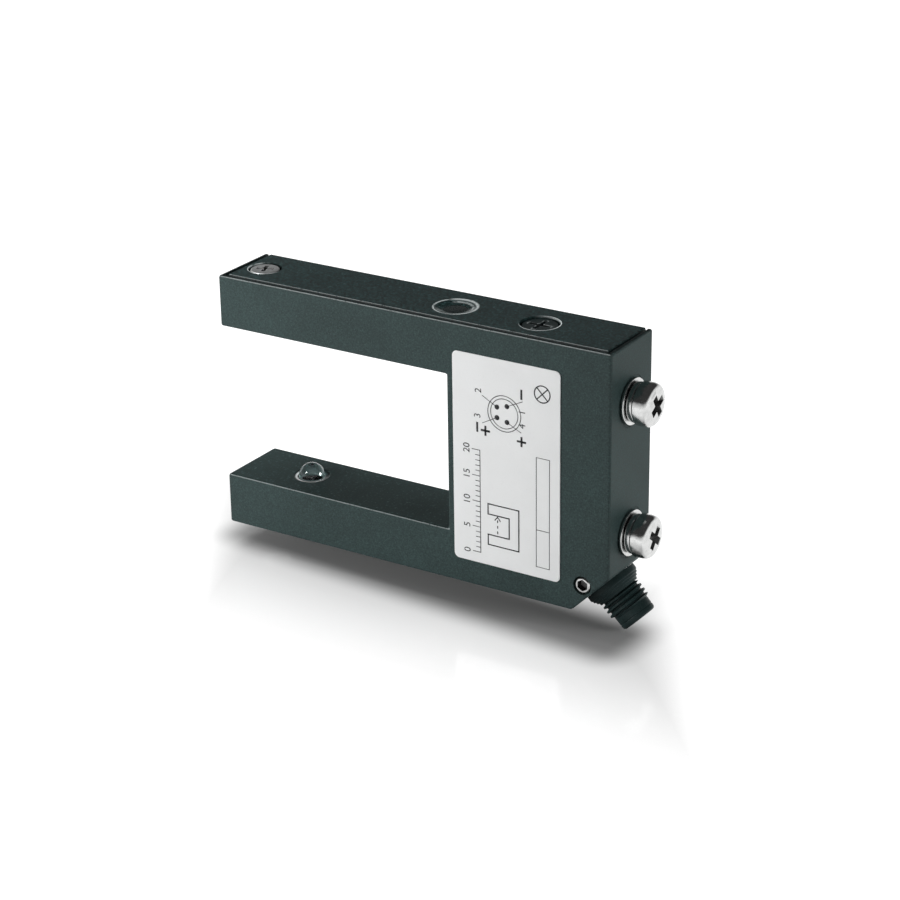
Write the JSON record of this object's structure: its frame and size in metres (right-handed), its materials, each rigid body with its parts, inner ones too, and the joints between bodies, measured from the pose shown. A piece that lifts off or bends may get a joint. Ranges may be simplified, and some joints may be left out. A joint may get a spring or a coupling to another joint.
{
  "type": "fork sensor",
  "caption": "Fork-shaped light barrier: facing lenses in its arms, a cover with indicator and sensitivity adjuster, an angled plug connector, and screws in its mounting face.",
  "frame": {"origin": "on the mounting face at the fork's closed end, at mid-thickness, midway between the two mounting screws", "axes": "+X out of the mounting face, so the arms point to -X; +Y from the labelled front to the back; +Z from the lower arm to the upper one"},
  "size_m": [0.0881, 0.0152, 0.0546],
  "materials": {
    "painted_casting": "fine textured dark grey-green paint",
    "painted_cover": "fine textured dark grey-green paint",
    "black_rubber": "matt",
    "nickel_plated_steel": "bright nickel plating",
    "smoked_window": "dark translucent",
    "clear_epoxy": "clear, polished",
    "tinned_wire": "tinned",
    "black_plastic": "moulded, satin",
    "blue_plastic": "moulded",
    "brass": "turned",
    "green_circuit_board": "solder mask",
    "aluminium_can": "drawn",
    "red_insulation": "smooth",
    "black_insulation": "smooth",
    "white_label": "printed foil"
  },
  "bodies": {
    "sensor": {"housing": "painted_casting", "top_cover": "painted_cover", "bottom_cover": "painted_cover", "top_gasket": "black_rubber", "bottom_gasket": "black_rubber", "top_cover_screw": "nickel_plated_steel", "bottom_cover_screw": "nickel_plated_steel", "indicator_window": "smoked_window", "indicator_lamp": "clear_epoxy", "indicator_lead_1": "tinned_wire", "indicator_lead_2": "tinned_wire", "emitter": "clear_epoxy", "emitter_lead_1": "tinned_wire", "emitter_lead_2": "tinned_wire", "receiver": "clear_epoxy", "receiver_lead_1": "tinned_wire", "receiver_lead_2": "tinned_wire", "trimmer_body": "blue_plastic", "main_board": "green_circuit_board", "emitter_board": "green_circuit_board", "amplifier_chip": "black_plastic", "smoothing_capacitor": "aluminium_can", "voltage_regulator": "black_plastic", "output_transistor": "black_plastic", "protection_diode": "black_plastic", "emitter_wire_1": "red_insulation", "emitter_wire_2": "black_insulation", "connector_shell": "black_plastic", "connector_insert": "black_plastic", "contact_1": "brass", "contact_2": "brass", "contact_3": "brass", "contact_4": "brass", "connector_wire_1": "black_insulation", "connector_wire_2": "black_insulation", "connector_wire_3": "red_insulation", "connector_wire_4": "red_insulation", "connector_set_screw": "nickel_plated_steel", "upper_mounting_screw": "nickel_plated_steel", "upper_spring_washer": "nickel_plated_steel", "upper_flat_washer": "nickel_plated_steel", "lower_mounting_screw": "nickel_plated_steel", "lower_spring_washer": "nickel_plated_steel", "lower_flat_washer": "nickel_plated_steel", "label": "white_label"},
    "adjuster": {"sensitivity_adjuster": "black_plastic", "trimmer_rotor": "brass"}
  },
  "joints": [
    {"name": "sensitivity_turn", "type": "hinge", "parent": "sensor", "child": "adjuster", "pos_m": [-0.01835, 0, 0.0231], "axis": [0, 0, 1], "range_deg": [-135, 135]}
  ]
}
